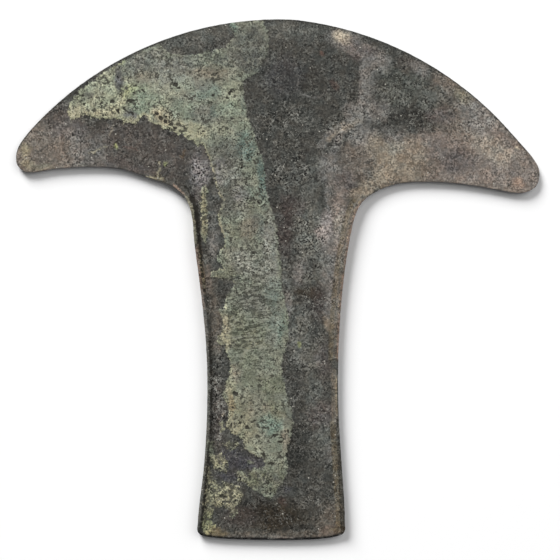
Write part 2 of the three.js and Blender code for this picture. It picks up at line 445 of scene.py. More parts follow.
# Patina
# The bare metal between the crusts has a dark skin of oxides, blotched taupe, grey and plum, with pale
# specks of lime. The crusts run from cream through grey-green to teal. Each colour is named once, and laid
# on in listed soft ovals, lines and strips whose edges the chance values break up.
LIGHT_LEVEL = 1.07  # the light that falls on the front, so that a tint shows as its screen value
SHEEN_LEVEL = 0.012  # what the dull gloss adds to that
DARKEST = 0.003


def tint(code):
    """A colour as light, from its screen value."""
    values = np.array([int(code[i : i + 2], 16) for i in (0, 2, 4)]) / 255
    shown = np.where(values <= 0.04045, values / 12.92, ((values + 0.055) / 1.055) ** 2.4)
    return np.maximum(shown - SHEEN_LEVEL, DARKEST) / LIGHT_LEVEL


TINT_CODES = {
    "slate": "4b4b47", "soot": "393936", "ash": "64655f", "fog": "7d7a75", "bone": "b9b09d",
    "taupe": "776f66", "pale_taupe": "847b73", "clay": "928777", "sand": "a48f7f", "umber": "3f3930",
    "plum": "56524e", "mauve": "655f5c", "rust": "5e4840", "mulberry": "4a4542", "steel": "4b4a4d",
    "green_slate": "52544e", "pitch": "201e1b", "brown": "5e5346", "tan": "b3a082", "olive_brown": "69604f",
    "pale_olive": "84816f", "pink_brown": "8b7769", "grey_rim": "6a6a64", "verdigris": "7b7f71",
    "pale_green": "9b9f8a", "lichen": "999d70", "cream": "a49c83", "sea": "84907e", "teal": "66736a",
    "deep_teal": "566560", "aqua": "72857a", "moss": "6b6d5b", "fawn": "827a6c", "ochre": "978565",
    "leaden": "5d5e5a", "violet": "63636a", "stone": "70716a", "pale_stone": "7e8079", "lip": "a3a288",
    "straw": "8a866e", "dun": "645f57", "chalk": "8f9188", "lilac": "858383", "blush": "938b86",
}  # fmt: skip
TINTS = {name: tint(code) for name, code in TINT_CODES.items()}

# Each oval: middle, half width, half height, turn, tint and how strongly it covers
METAL_OVALS = [
    # Both horns, broadly
    (-68, 38, 13, 13, 0, "taupe", 0.9), (64, 38, 20, 16, -40, "taupe", 0.9),
    (72, 30, 9, 8, 0, "taupe", 0.8), (52, 30, 20, 6, 0, "taupe", 0.8),
    # The left horn and the metal below the crust
    (-66, 37.5, 9, 8, 10, "taupe", 0.95), (-61.5, 44, 5, 3.5, 40, "mauve", 0.6),
    (-64.5, 47, 4.5, 2, 45, "plum", 0.8), (-63, 34, 5, 2.5, 0, "taupe", 0.7),
    (-72.4, 37, 1.6, 2.2, 0, "cream", 0.75), (-71.9, 33, 1.9, 1.6, 0, "cream", 0.55),
    (-68, 31.9, 3.5, 1, 5, "pale_olive", 0.5), (-57, 37.5, 3, 6, 0, "fog", 0.6),
    (-58.5, 42.5, 3, 2.4, 0, "fog", 0.5), (-48, 40.5, 8, 5, 0, "plum", 0.9),
    (-36, 38, 11, 7, -15, "plum", 0.9), (-28, 33, 6, 6, -30, "plum", 0.6),
    (-49, 33.8, 7, 2.2, 0, "mauve", 0.6), (-35, 29.8, 3.5, 1.2, -25, "olive_brown", 0.6),
    (-53.5, 37, 5, 5, 0, "fog", 0.45), (-39, 31.5, 5, 1.6, -15, "mauve", 0.6),
    (-22.4, 31.5, 2.8, 5, 0, "lilac", 0.75), (-23, 24.5, 2, 3, 0, "mauve", 0.6),
    (-46.2, 38, 0.8, 0.8, 0, "lichen", 0.9), (-46.2, 38, 0.25, 0.25, 0, "plum", 0.9),
    (-32.2, 33.5, 0.75, 0.75, 0, "lichen", 0.7), (-47, 43.9, 0.4, 0.4, 0, "bone", 0.6),
    # The top of the blade and its dark middle
    (-24.5, 68.6, 13, 3.2, 18, "ash", 0.6), (-58, 53, 3, 1.5, 45, "slate", 0.6),
    (4, 71.5, 10, 3, 0, "ash", 0.6), (2, 58, 6, 6, 0, "steel", 0.4),
    # The right half of the blade and the right horn
    (20.5, 68, 7, 3, -22, "fog", 0.75), (18.4, 69.5, 2.5, 1.8, -20, "bone", 1),
    (24, 65.5, 6, 3, -30, "mauve", 0.7), (29.6, 62.4, 2.6, 3.6, 25, "fog", 0.8),
    (31, 50, 1.1, 4, 0, "fog", 0.45), (36, 56, 8, 7, 0, "green_slate", 0.7),
    (37, 61.5, 4, 2.5, -20, "mulberry", 0.5), (38, 45.4, 7.5, 3.8, 10, "soot", 0.8),
    (40.5, 60.8, 3.2, 2, -35, "fog", 0.7), (43.5, 52.5, 4, 4, 0, "ash", 0.6),
    (48.5, 56.5, 5, 2.8, -40, "taupe", 0.8), (53.5, 52.2, 3.4, 1.7, -40, "pale_olive", 0.6),
    (47, 46.8, 4, 2.6, 0, "mauve", 0.7), (58, 46, 7, 4.5, -45, "fog", 0.9),
    (44, 38.4, 10, 4, 0, "pale_taupe", 0.95), (62, 37, 10, 6.5, -45, "pale_taupe", 0.95),
    (58, 31, 12, 5, -5, "pale_taupe", 0.95), (70, 31, 7, 7, 0, "pale_taupe", 0.9),
    (51, 33.8, 5, 3.6, 0, "mauve", 0.85), (46, 37.6, 8, 2.6, 0, "mauve", 0.4),
    (62, 37.2, 8, 3.2, -35, "bone", 0.3), (50, 29.2, 8, 1.4, 0, "pale_taupe", 0.8),
    (38, 36, 5, 5, 0, "clay", 0.7), (26.8, 38.4, 3.6, 3.6, 0, "clay", 0.9), (33, 42.6, 4, 2, 0, "fog", 0.4),
    (28, 48, 4, 3.4, 0, "fog", 0.6), (36.5, 30.2, 5, 2.2, 0, "clay", 0.7),
    (31.2, 33, 3.6, 6.8, -12, "clay", 1), (33.5, 40.4, 3.4, 1.8, 0, "fog", 0.6),
    (32.8, 38, 3.4, 2, 0, "chalk", 0.5), (22.5, 34, 5.6, 6.2, 0, "taupe", 0.8),
    (19, 28, 3.2, 4.2, 0, "mauve", 0.8), (14.6, 32, 3, 4.4, 0, "fog", 0.7),
    (25, 26.2, 4.8, 2.2, 30, "clay", 0.75), (68.8, 27.7, 2.1, 1.5, 0, "sand", 0.9),
    (71.8, 31, 2.2, 3, 0, "pale_taupe", 0.8), (68.4, 37.4, 0.6, 0.6, 0, "bone", 0.9),
    (67.5, 32, 1.8, 2.6, 0, "mauve", 0.5), (19.5, 44, 4.4, 1.5, 18, "clay", 0.6),
    (20.8, 48.6, 2.4, 2.6, 0, "fog", 0.6), (17.4, 41.6, 1.9, 1.1, 40, "soot", 0.8),
    # The stem above its waist, right of the crust
    (10.5, 32.5, 2.6, 2.6, 0, "ash", 0.6), (2.5, 48, 5, 5, 0, "soot", 0.35),
    (24.4, 41.2, 4.2, 3.2, 0, "fog", 0.8), (7, 26, 8, 3, 0, "ash", 0.3),
    (5, 21.4, 4.6, 3, 0, "mulberry", 0.95), (2.2, 14.5, 2.2, 8.5, 0, "mulberry", 0.9),
    (8.8, 15, 4.2, 10, 0, "ash", 0.95), (15.5, 9.5, 3.2, 9, 0, "fog", 0.95),
    (17.8, 17, 2.8, 11.5, 0, "pale_taupe", 0.95), (13.8, 15.6, 2.3, 4.6, -4, "blush", 0.95),
    (18, 15.6, 1.8, 3, 0, "chalk", 0.4), (9.8, 0.6, 2.6, 1.8, 0, "ash", 0.9),
    (13.2, 3, 2.4, 5.5, 0, "ash", 0.6), (6, 2.5, 1.6, 3, -30, "fog", 0.55), (2.2, 0, 1.6, 5, 0, "ash", 0.6),
    (9, -4, 4, 1.6, 0, "umber", 0.75), (12, -7, 2.4, 5, 0, "mulberry", 0.85),
    (3.6, -6, 1.5, 4, 0, "ash", 0.6), (15.8, -5, 1.5, 10, 0, "fog", 0.7), (5.6, 1.6, 1.6, 4, 0, "fog", 0.5),
    (14.4, -12.5, 1.7, 2.4, 0, "clay", 0.9), (2.8, -7, 1.2, 4, 0, "fog", 0.6),
    (6.2, -15, 3, 8, 0, "ash", 0.8), (10.8, -21.6, 2.2, 3.6, 0, "ash", 0.75),
    (14.6, -8, 1.6, 3.6, 0, "fog", 0.6), (14.4, 0.2, 2, 3.6, 0, "fog", 0.6),
    (5.9, -18.8, 0.8, 0.9, 0, "lichen", 0.8),
    # The stem below its waist, right of the crust
    (10.2, -32, 2.6, 6, 0, "ash", 0.6), (5.2, -34, 2.2, 4.4, 0, "soot", 0.45),
    (13, -24, 2.4, 6, 0, "mauve", 0.5), (12.5, -39, 4, 4.5, 0, "mauve", 0.55),
    (5.8, -48, 3, 6.5, 0, "soot", 0.95), (12.6, -45.8, 3, 4, 0, "ash", 0.8),
    (14.4, -50, 1.8, 2.8, 0, "fog", 0.5),
    # The butt
    (14.5, -68.6, 4.4, 4.6, -5, "dun", 0.9), (-2, -68, 11, 4.6, 0, "umber", 0.85),
    (1.9, -63.4, 1.3, 1.5, 0, "rust", 0.35), (-10.5, -68, 6, 3.4, 0, "mulberry", 0.7),
    (-5.5, -64.6, 5, 2.6, 0, "pitch", 0.45), (0.5, -68.4, 6, 2.4, 0, "pitch", 0.35),
    (6, -71.6, 3.6, 1.5, 0, "pitch", 0.4), (0, -73.2, 18, 0.8, 0, "dun", 0.8),
    (14.6, -72, 3.6, 1.8, 0, "pink_brown", 0.45), (-17, -72.6, 3.4, 1.2, 0, "ochre", 0.5),
    # The strip of metal left of the crust
    (-13.5, -51.5, 4, 3.4, 0, "steel", 0.8), (-8, -52.4, 5, 2.2, 0, "steel", 0.8),
    (-15, -56.6, 3.2, 1.4, 0, "steel", 0.8), (-17.4, -38, 1.9, 11, 0, "plum", 0.75),
    (-17.8, -12, 2, 11, 0, "dun", 0.8), (-17.2, -27.6, 1.6, 3, 0, "slate", 0.6),
    (-16.2, -3.4, 2, 2.2, 0, "soot", 0.35), (-18.4, 17, 1.8, 10, 0, "leaden", 0.85),
    (-18.4, 10, 1.6, 3.4, 0, "fog", 0.5),
    # Touches all over
    (-15.8, -39.3, 0.35, 0.35, 0, "bone", 0.8), (2.6, -60, 1.6, 1.2, 0, "steel", 0.7),
    (-21.6, 37.2, 2, 2.6, 0, "plum", 0.6), (6.2, 20.5, 2.4, 3, 0, "mulberry", 0.7),
    (-1.2, 24.2, 1.8, 3, 0, "soot", 0.5), (4.8, -49.6, 2.4, 6, 0, "soot", 0.9),
    (-57, 43.2, 2.6, 2.2, 0, "plum", 0.6), (-20.2, 0.4, 1.5, 4.4, 0, "taupe", 0.7),
    (8, -23.6, 2.2, 3.8, 0, "ash", 0.6), (12.4, -50.6, 2.4, 2.6, 0, "slate", 0.6),
    (38.5, 44.2, 6.5, 2.4, 8, "slate", 0.6), (14.2, -28.4, 2, 2.4, 0, "slate", 0.6),
    (-15, 67.6, 4, 2, 0, "slate", 0.7), (-29, 67.4, 8, 2.4, 16, "slate", 0.3),
    (-56.6, 43.2, 2.4, 2, 0, "mauve", 0.5), (8, 73, 5, 1.3, 0, "slate", 0.6),
    (9, 55.5, 8, 4, 0, "soot", 0.4), (17.6, -71.6, 1.8, 2.4, 0, "brown", 0.6),
]  # fmt: skip
CRUST_OVALS = [
    # On the left half of the blade
    (-50, 52.5, 13, 7, 20, "pale_green", 0.95), (-57.5, 52.4, 2.4, 1.8, 40, "moss", 0.6),
    (-53.6, 53.2, 2, 1.4, 20, "leaden", 0.85), (-55.8, 51.2, 1.4, 0.7, 30, "leaden", 0.6),
    (-50, 57, 4, 2.4, 35, "pale_green", 0.8), (-46.3, 61.2, 1.8, 1, 25, "lichen", 0.7),
    (-45.2, 56.5, 1.4, 4.6, 8, "violet", 0.8), (-47.3, 51.2, 0.9, 0.7, 0, "leaden", 0.8),
    (-42.3, 53.8, 3.2, 2.3, 0, "lichen", 0.6), (-45.4, 49.3, 3.4, 2.4, 0, "lip", 0.7),
    (-24, 53.6, 5, 3, 0, "pale_stone", 0.5), (-42.2, 51.3, 1.6, 0.6, 0, "moss", 0.8),
    (-38, 50.5, 6, 5, 0, "sea", 0.75), (-36, 58.5, 6, 2.6, 0, "fawn", 0.8),
    (-39, 62.4, 7, 2.6, 28, "pale_stone", 0.8), (-30, 58.2, 7.5, 4.2, 10, "chalk", 0.7),
    (-31, 54.6, 8, 2.2, 0, "pale_green", 0.45), (-29, 62, 7, 2, 12, "pale_stone", 0.7),
    (-19, 59, 6.5, 2.4, 0, "fawn", 0.7),
    # On the top and the middle of the blade
    (-8, 67, 6, 6.5, 0, "leaden", 0.8), (-7, 61.5, 4, 3, 0, "leaden", 0.8),
    (-12.4, 72.5, 1.8, 1.2, 0, "aqua", 0.8), (-13, 63, 5, 2, 0, "stone", 0.6),
    (-17.7, 59, 1.1, 0.4, 30, "umber", 0.6), (-20, 53.8, 5, 2.2, 0, "aqua", 0.55),
    (-13, 53.6, 3.2, 3.2, 0, "pale_green", 0.6), (-25, 48, 5, 4, 0, "sea", 0.45),
    (-20.5, 47.5, 5, 3, 0, "stone", 0.8), (-18.2, 48, 1.1, 2.2, 0, "teal", 0.7),
    (-13.8, 48.4, 4, 2.6, 0, "sea", 0.6), (-9.7, 50, 1.1, 3, 0, "teal", 0.5),
    (-33.2, 46.8, 3.6, 2, -38, "cream", 0.9), (-42.6, 47.3, 2.3, 1, 0, "violet", 0.7),
    (-50, 47.4, 6, 1.3, 0, "cream", 0.9), (-57.4, 48.2, 2.4, 2.2, 0, "cream", 0.5),
    (-25.5, 42.8, 6, 2.4, -14, "lip", 0.85), (-41, 45.8, 3, 0.9, 0, "cream", 0.6),
    (-16, 43, 4, 2, 0, "pale_green", 0.4), (-10.2, 43.6, 1.8, 2, 0, "sea", 0.5),
    (-9, 38.6, 3.2, 4.4, 10, "teal", 0.85), (-9.2, 36.6, 2.8, 2.8, 0, "deep_teal", 0.6),
    # Down the stem to its waist
    (-15, 36, 5, 5, 0, "leaden", 0.7), (-16.4, 30.6, 3.4, 4.2, 0, "lilac", 0.7),
    (-4.6, 30, 1.6, 5.6, 8, "deep_teal", 0.9), (-13, 29.5, 3.6, 4, 0, "stone", 0.6),
    (-13.5, 23, 3.6, 5, 0, "leaden", 0.7), (-9, 21.5, 3.4, 3.4, 0, "moss", 0.5),
    (-10.6, 24.4, 2.6, 2.6, 0, "lilac", 0.5), (-10.2, 20, 2.2, 2.4, 0, "chalk", 0.5),
    (-6, 24.6, 2.6, 2, 0, "teal", 0.5), (-8.6, 14, 2.6, 4.5, 0, "fawn", 0.6),
    (-2.4, 11, 2.2, 10, 0, "pale_stone", 0.9), (-4.7, 15, 0.9, 4, 0, "teal", 0.5),
    (-12, 6.5, 3, 4, 0, "fawn", 0.6), (-14, 1.8, 4, 2, 0, "moss", 0.6), (-5, 3, 4, 3.4, 0, "stone", 0.6),
    (-2, 1, 2.4, 5.4, 0, "chalk", 0.85), (-6.4, 16.4, 2.2, 2.4, 0, "leaden", 0.6),
    # Down the stem below its waist
    (1.8, -35.5, 3, 6.4, 0, "stone", 0.6), (-10.2, 5, 3, 4, 0, "chalk", 0.85),
    (-12.6, -10.5, 2.3, 3.2, 0, "moss", 0.6), (-7, -6, 4.4, 3.6, 0, "leaden", 0.8),
    (-1.5, -4, 2.5, 5, 0, "teal", 0.85), (-0.4, -14, 2.9, 5.4, 0, "teal", 0.85),
    (-4, -9, 1.2, 3, 0, "leaden", 0.6), (-9, -16.5, 6, 5, 0, "moss", 0.65),
    (-15.2, -15.6, 1.9, 5.4, 0, "cream", 0.8), (-6, -26, 7, 5, 0, "verdigris", 0.8),
    (-12.2, -27, 1.8, 2.6, 0, "fawn", 0.7), (-1.8, -30, 5, 3.4, 0, "moss", 0.65),
    (-10.5, -42, 4.4, 9, 0, "straw", 0.5), (-2, -38, 2.6, 3.4, 0, "straw", 0.45),
    (-2, -35.2, 2.4, 2, 0, "moss", 0.5), (-6.2, -36.4, 2.4, 3, 0, "fawn", 0.45),
    (-1.2, -7, 2.6, 11, 0, "chalk", 0.3), (-5, 3, 4, 5, 0, "chalk", 0.35),
    (-13.4, -35, 1.1, 4.4, 0, "ochre", 0.55), (-3.4, -37, 1.4, 2.6, 0, "fawn", 0.6),
    (-2, -41.4, 3.4, 3.2, 0, "aqua", 0.7), (-12.2, -42.6, 2, 1.8, 0, "cream", 0.6),
    (2.4, -46, 1.4, 3, 0, "fawn", 0.7), (-7.2, -48.4, 3, 1.6, 0, "pale_green", 0.6),
    (1.4, -55, 1.2, 3, 0, "moss", 0.6), (-3.4, -57.4, 4, 2.2, 0, "leaden", 0.6),
    (-1.8, -59.6, 2.6, 2, 0, "moss", 0.5), (-12.4, 30.2, 2.2, 2.6, 0, "chalk", 0.6),
    (-8.4, -25.6, 2.4, 6.4, 0, "moss", 0.5), (0.4, -38.2, 2.2, 2.6, 0, "moss", 0.6),
    (-4, -55.8, 2.4, 3.4, 0, "moss", 0.6), (-4.2, 14, 1.6, 2.6, 0, "leaden", 0.5),
    (-12.4, 13.8, 2.2, 2.4, 0, "moss", 0.5),
    # The loose crusts
    (-17.5, -62, 7, 8, 0, "straw", 0.9), (-17, -53.2, 4, 3, 0, "straw", 0.8),
    (-18.8, -70.6, 3.4, 3.8, 0, "lichen", 0.5), (-18, -72.4, 3.2, 1.8, 0, "ochre", 0.6),
    (-16, -45, 3, 5, 0, "straw", 0.7), (-9, -57.8, 3.6, 3, 0, "straw", 0.7),
    (-5.6, -56.6, 3.4, 2, -10, "moss", 0.9), (-21.2, 18.5, 1.3, 8.6, 0, "straw", 0.9),
    (-15.5, -60.6, 6, 2.8, 0, "lip", 0.6), (-9.6, -60.4, 3, 2.4, 0, "lip", 0.45),
    (-18, -53.2, 2.4, 3.4, 0, "lip", 0.5),
    # Touches all over
    (-50, 50, 9, 3.4, 8, "lip", 0.3), (-46, 49.4, 3, 2.2, 0, "lip", 0.5),
    (-21, 56, 3.6, 1.8, 0, "pale_stone", 0.5), (-33, 50, 3, 2.4, 0, "pale_green", 0.4),
    (-33, 61.4, 5, 1.6, 14, "chalk", 0.4), (-2.6, 9, 2.4, 6, 0, "chalk", 0.45),
    (-2, -16.4, 2.2, 2.4, 0, "chalk", 0.4), (-14.6, 31.4, 2.6, 3.2, 0, "chalk", 0.5),
    (-3.8, 24, 1.4, 3, 0, "deep_teal", 0.5), (-13.6, -30, 1.6, 3, 0, "lip", 0.5),
]  # fmt: skip

# Each line: tint, how strongly it covers, its half width and its corners
METAL_LINES = [
    ("cream", 0.60, 0.18, [(-54.1, 36.3), (-52.4, 36.6), (-50.6, 37.9), (-48.4, 38.3)]),
    ("fog", 0.50, 0.20, [(-56.8, 41.2), (-54.2, 39.6), (-53.0, 36.8)]),
    ("rust", 0.50, 0.25, [(-44.4, 38.0), (-42.2, 37.8), (-40.3, 37.1)]),
    ("cream", 0.75, 0.22, [(-34.0, 33.7), (-33.6, 32.0), (-34.4, 30.8), (-34.3, 29.7)]),
    ("cream", 0.75, 0.24, [(-37.5, 29.6), (-35.6, 29.2), (-32.9, 28.9)]),
    ("brown", 0.80, 0.40, [(-27.9, 35.4), (-27.2, 35.0), (-26.6, 37.1)]),
    ("sand", 0.60, 0.30, [(-30.0, 27.2), (-28.2, 25.8), (-26.8, 24.4)]),
    ("fog", 0.55, 1.2, [(21.4, 46.6), (19.2, 43.6), (15.0, 41.7), (12.6, 38.4)]),
    ("fog", 0.65, 1.0, [(18.0, 42.0), (16.0, 36.0), (14.8, 30.0), (14.4, 25.0), (15.2, 20.0)]),
    ("clay", 0.45, 0.5, [(20.6, 44.2), (17.2, 42.4), (14.2, 40.0)]),
    ("bone", 0.45, 0.25, [(-48.3, 41.5), (-47.4, 43.2)]),
    ("fog", 0.60, 0.16, [(5.8, 57.2), (5.7, 54.6), (7.0, 53.0), (9.6, 52.1), (12.1, 52.3), (14.4, 54.3)]),
    ("rust", 0.60, 0.50, [(12.5, 65.1), (12.9, 64.6)]),
    ("rust", 0.35, 0.90, [(15.6, 56.6), (16.8, 55.0)]),
]

# The worn streak right of the blade's dark middle: its sharp left edge, from which it fades rightwards
STREAK_STRENGTH = 0.75
STREAK_EDGE = [(21.4, 43.0), (21.9, 45.7), (22.6, 50.0), (23.2, 56.0), (23.8, 61.0), (22.8, 66.0)]

# The same for the crust: the bright rims of its broken border, and one pale scratch
CRUST_LINES = [
    ("cream", 0.85, 0.30, [(-21.8, 38.6), (-20.6, 36.8), (-19.7, 34.4), (-18.4, 30.4), (-17.8, 27.2)]),
    ("cream", 0.80, 0.28, [(-17.8, 27.6), (-17.2, 25.6), (-16.4, 22.8)]),
    ("cream", 0.60, 0.22, [(-17.4, 26.4), (-16.4, 24.4), (-15.4, 22.6)]),
    ("cream", 0.70, 0.40, [(-17.2, 18.6), (-16.4, 15.4), (-15.4, 12.0)]),
    ("cream", 0.50, 0.20, [(-9.8, -21.4), (-8.6, -19.8), (-7.2, -18.8), (-5.7, -18.1)]),
]

# Each strip along an edge: its lowest and highest x and y, its least and greatest inset, tint and strength.
# Some strips are painted shade and painted highlights along the rims and the butt.
STRIP_SOFTNESS = 0.12
EDGE_STRIPS = [
    (-80, 80, 36, 80, -1.0, 0.32, "soot", 0.8),
    (-27, -20, 9.5, 25, -1.0, 0.95, "pale_olive", 0.85),
    (-26, -20, -9.0, 10, -1.0, 0.6, "pink_brown", 0.6),
    (-26, -20, -5.0, 11, 0.7, 1.8, "brown", 0.9),
    (-26, -20, -3.0, 9, 1.0, 1.4, "straw", 0.8),
    (-26, -20, -20.0, 8, 1.9, 2.6, "ash", 0.7),
    (-26, -18, -72, -9, -1.0, 0.75, "grey_rim", 0.85),
    (-26, -18, -17, -2, -1.0, 0.8, "fog", 0.6),
    (14, 30, -24, 24, -1.0, 0.45, "pink_brown", 0.7),
    # Tan metal along the right rim, and partly a painted highlight where the rim faces the lamp
    (14, 30, -24, 24, 0.55, 0.75, "tan", 0.75),
    (14, 30, -24, 24, 0.85, 1.5, "dun", 0.85),
    (14, 30, -24, 24, 1.5, 2.9, "olive_brown", 0.7),
    (14, 30, -42, -25, 0.6, 1.9, "clay", 0.4),
    # Tan metal along the right rim, and partly a painted highlight where the rim faces the lamp
    (14, 30, -40, -27, 0.3, 0.75, "tan", 0.42),
    (14, 30, -73, -40, 1.0, 2.6, "olive_brown", 0.7),
    (14, 30, -74, -46, 0.2, 0.9, "umber", 0.6),
    # Painted shade: a dark line along the outer side of the right rim, low on the stem
    (14, 30, -72, -44, -1.0, 0.3, "pitch", 0.5),
    # A pale line along the butt's edge: worn metal, and partly a painted highlight
    (-21, 18, -76, -73.0, 0.5, 1.1, "pale_taupe", 0.9),
    # Painted shade: a dark line along the butt's edge for its shaded side and the shadow under it
    (-23, 20, -76, -72, -1.0, 0.58, "pitch", 1.5),
]

# The back's blotches, plainer than the front's
BACK_OVALS = [
    (-50, 42, 16, 9, 15, "taupe", 0.7), (-20, 60, 14, 8, 10, "ash", 0.7),
    (10, 50, 14, 10, 0, "mulberry", 0.6), (40, 48, 16, 8, -25, "fog", 0.6),
    (62, 36, 8, 7, -40, "pale_taupe", 0.7), (0, 22, 12, 12, 0, "mauve", 0.6),
    (-10, -6, 7, 14, 0, "taupe", 0.6), (8, -30, 7, 16, 0, "ash", 0.7), (-8, -52, 9, 10, 0, "mulberry", 0.7),
    (6, -66, 9, 6, 0, "brown", 0.7),
]  # fmt: skip


DRIFT = 1.1
OVAL_FADE = (0.5, 1.35)


def drifting(places):
    """The places, shifted a little by chance, which breaks up a patch's edge."""
    return places + DRIFT * np.stack([mottle(places, 5.0, 4, 51.0), mottle(places, 5.0, 4, 57.0)], axis=1)


def patched(places, ground, patches):
    """The ground value with soft ovals of other values laid over it in turn."""
    values = np.repeat(np.array([ground], float), len(places), axis=0)
    for *oval, over, strength in patches:
        share = strength * (1 - ease(oval_reach(places, *oval), *OVAL_FADE))
        values += (over - values) * (share[:, None] if values.ndim == 2 else share)
    return values


def tinted(places, ground, ovals):
    """The ground tint with soft ovals of other tints laid over it in turn."""
    patches = [(*oval, TINTS[name], strength) for *oval, name, strength in ovals]
    return patched(places, TINTS[ground], patches)


def amounts(ground, ovals):
    """The front's amount of something, with soft ovals of other amounts laid over it in turn."""
    return patched(adrift, ground, [(*oval, amount, 1.0) for *oval, amount in ovals])


adrift = drifting(front)
metal_tint = tinted(adrift, "slate", METAL_OVALS)
crust_tint = tinted(adrift, "verdigris", CRUST_OVALS)
for tints, lines in ((metal_tint, METAL_LINES), (crust_tint, CRUST_LINES)):
    for name, strength, half_width, line in lines:
        share = strength * (1 - ease(line_distance(shaken, line), half_width * 0.5, half_width * 1.5))
        tints += (TINTS[name] - tints) * share[:, None]

streak_x, streak_y = zip(*STREAK_EDGE)
beside = adrift[:, 0] - np.interp(adrift[:, 1], streak_y, streak_x)
streak = STREAK_STRENGTH * ease(beside, -0.2, 0.5) * (1 - ease(beside, 1.0, 6.5))
streak *= ease(adrift[:, 1], 43.0, 47.0) * (1 - ease(adrift[:, 1], 62.0, 67.0))
metal_tint += (TINTS["fog"] - metal_tint) * streak[:, None]

# The pale lip along the crust's left border, whole on the blade and broken along the stem
LIP_STRENGTH = 0.85
on_blade = ease(front[:, 1], 34, 42)
border = line_distance(front + ragged, MAIN_CRUST[: MAIN_CRUST.index(LIP_END)])
border_width = 0.3 + 0.5 * on_blade + 0.25 * mottle(front, 2.2, 2, 65.0)
lip_share = LIP_STRENGTH * (1 - ease(border / np.maximum(border_width, 0.1), 0.5, 1.5))
lip_share *= ease(mottle(front, 2.6, 2, 67.0) + on_blade, -0.35, 0.3)
crust_tint += (TINTS["lip"] - crust_tint) * lip_share[:, None]

# How strongly the edge strips show, broken up by chance: worn edges and the painted shade and highlights
# alike
edge_strip_breakup = 0.55 + 0.45 * ease(mottle(front, 1.3, 2, 61.0), -0.6, 0.2)
for low_x, high_x, low_y, high_y, near, far, name, strength in EDGE_STRIPS:
    share = strength * edge_strip_breakup * ease(front_inset, near - STRIP_SOFTNESS, near + STRIP_SOFTNESS)
    share *= 1 - ease(front_inset, far - STRIP_SOFTNESS, far + STRIP_SOFTNESS)
    share *= ease(front[:, 0], low_x, low_x + 1) * (1 - ease(front[:, 0], high_x - 1, high_x))
    share *= ease(front[:, 1], low_y, low_y + 1.5) * (1 - ease(front[:, 1], high_y - 1.5, high_y))
    share = np.minimum(share, 1)
    metal_tint += (TINTS[name] - metal_tint) * share[:, None]
    crust_tint += (TINTS[name] - crust_tint) * share[:, None] * 0.5

back_tint = tinted(drifting(back), "slate", BACK_OVALS)
back_reach = 4.0 * mottle(back, 14.0, 4, 71.0) - 1.8  # a few crusts by chance

# Specks of lime: an oval, and how thickly they lie in it
SPECK_OVALS = [
    (1, 45, 9, 8, 0, 0.7), (8.5, 12, 5, 11, 0, 0.9), (8, -16, 6, 14, 0, 0.7), (3, 31, 7, 5, 0, 1),
    (-22.6, 31, 2.6, 5.4, 0, 1), (-58, 37, 8, 6, 0, 0.7), (34, 50, 14, 10, 0, 0.6),
    (56, 46, 9, 6, -45, 0.7), (19, 43, 6, 4, 0, 0.9), (10, -36, 6, 12, 0, 0.6), (12, -56, 6, 16, 0, 0.5),
    (2.2, 0, 2, 6, 0, 0.8), (-17.2, -34, 2, 12, 0, 1.5), (-30, 68, 16, 4, 18, 0.4), (4, 60, 14, 10, 0, 0.4),
    (50, 34, 18, 6, -5, 0.2), (68, 33, 8, 7, 0, 0.25), (-67, 36, 7, 6, 0, 0.25),
]  # fmt: skip
specks = amounts(0.4, SPECK_OVALS)

# The crust is rippled crosswise in one large oval over the waist
RIPPLED_OVAL = (-8.0, -8.0, 8.0, 19.0, 0)
ripples = 1 - ease(oval_reach(adrift, *RIPPLED_OVAL), 0.6, 1.3)

# Thin crust: an oval, and how much of the skin shows through there
THIN_OVALS = [
    (-24, 62.5, 14, 3, 8, 0.7), (-38, 63, 8, 3, 28, 0.7), (-8, 66, 5.5, 8, 0, 0.6),
    (-17, -62, 7, 9, 0, 0.7), (-16, -51, 5, 6, 0, 0.75), (-7, -57.8, 5, 3.4, 0, 0.6),
    (-14.5, 30, 4.5, 10, 12, 0.45), (-12, 22, 5, 4, 0, 0.5), (-13, -1, 4, 3, 0, 0.8),
    (-45.2, 56.5, 1.6, 5, 8, 0.8), (-19, -68, 2.6, 6, 0, 0.5), (-2, -58, 6, 4, 0, 0.5),
    (-53, 54, 8, 3, 38, 0.3), (-4, 2, 5, 8, 0, 0.3), (-9, 8, 6, 6, 0, 0.3),
]  # fmt: skip
thin = amounts(0.12, THIN_OVALS)

# Crumbly crust: an oval, and how much rougher than elsewhere it is there
CRUMBLY_OVALS = [
    (-50, 52, 12, 7, 20, 1.2), (-17, -62, 7, 12, 0, 1.6), (-16, -50, 5, 6, 0, 1.6),
    (-6.2, -59.4, 5.8, 4.6, 0, 1.6), (-21.2, 18.5, 1.6, 9, 0, 1.6), (-31, 45, 6, 3, -30, 1.3),
    (-7, 0, 8, 14, 0, 1.3), (-9, 28, 8, 12, 0, 1.25),
]  # fmt: skip
crumbly = amounts(1.0, CRUMBLY_OVALS)

# Pits this deep and grooves are darkened: dark dirt, and painted shade in these hollows and along the foot
# of the rims
DARKENED_DEPTH = 0.07
dirt_and_shade = np.clip(np.clip(pit_depth / DARKENED_DEPTH, 0, 1) + groove_share, 0, 1)

none = np.zeros(len(back))
carry("crust_reach", crust_reach, back_reach)
carry("metal_tint", metal_tint, back_tint)
carry("crust_tint", crust_tint, np.tile(TINTS["verdigris"], (len(back), 1)))
carry("specks", specks, none + 0.5)
carry("ripples", ripples, none)
carry("thin", thin, none + 0.4)
carry("crumbly", crumbly, none + 1.0)
carry("hollow_dirt_and_shade", dirt_and_shade, none)

copper = bpy.data.materials.new("copper")
copper.use_nodes = True
surface = copper.node_tree.nodes["Principled BSDF"]


